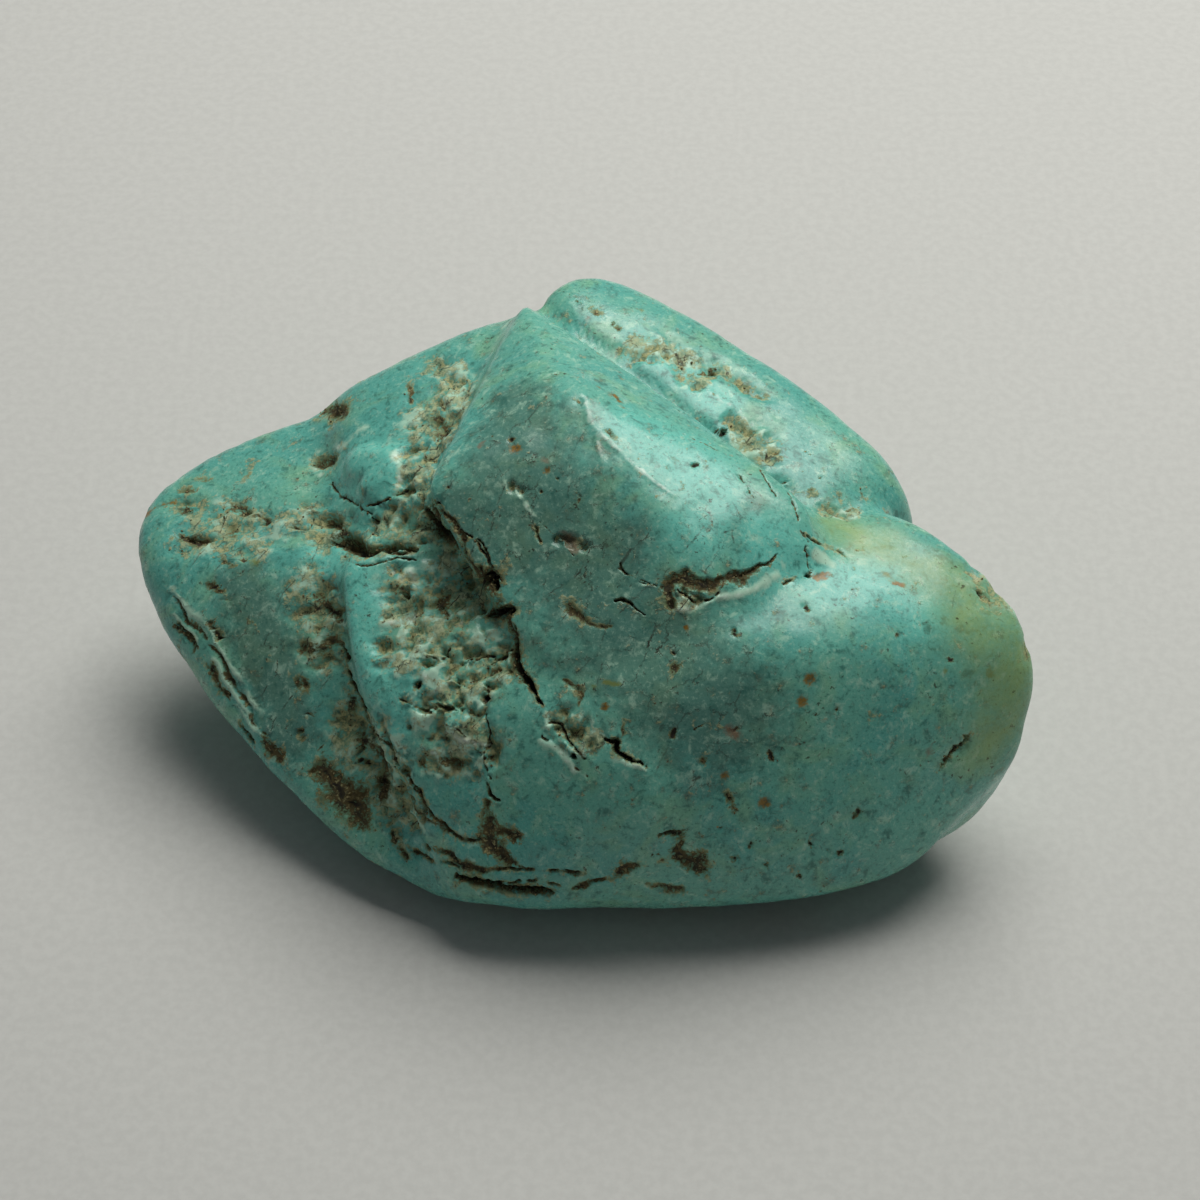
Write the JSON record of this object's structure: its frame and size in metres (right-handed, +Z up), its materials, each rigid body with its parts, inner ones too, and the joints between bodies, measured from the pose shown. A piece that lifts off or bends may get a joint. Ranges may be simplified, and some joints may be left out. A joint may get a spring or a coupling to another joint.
{
  "type": "raw turquoise nugget",
  "caption": "Irregular water-worn turquoise nugget with a raised peaked block, a cleft, a long back ridge and a small flat to rest on.",
  "frame": {"origin": "on the surface the stone rests on, under the middle of its box", "axes": "+X along the stone from its blunt nose to its rounded shoulder, +Y towards its back, +Z up"},
  "size_m": [0.0477, 0.0321, 0.0221],
  "materials": {
    "turquoise": "satin"
  },
  "bodies": {
    "root": {"turquoise_nugget": "turquoise"}
  },
  "joints": []
}
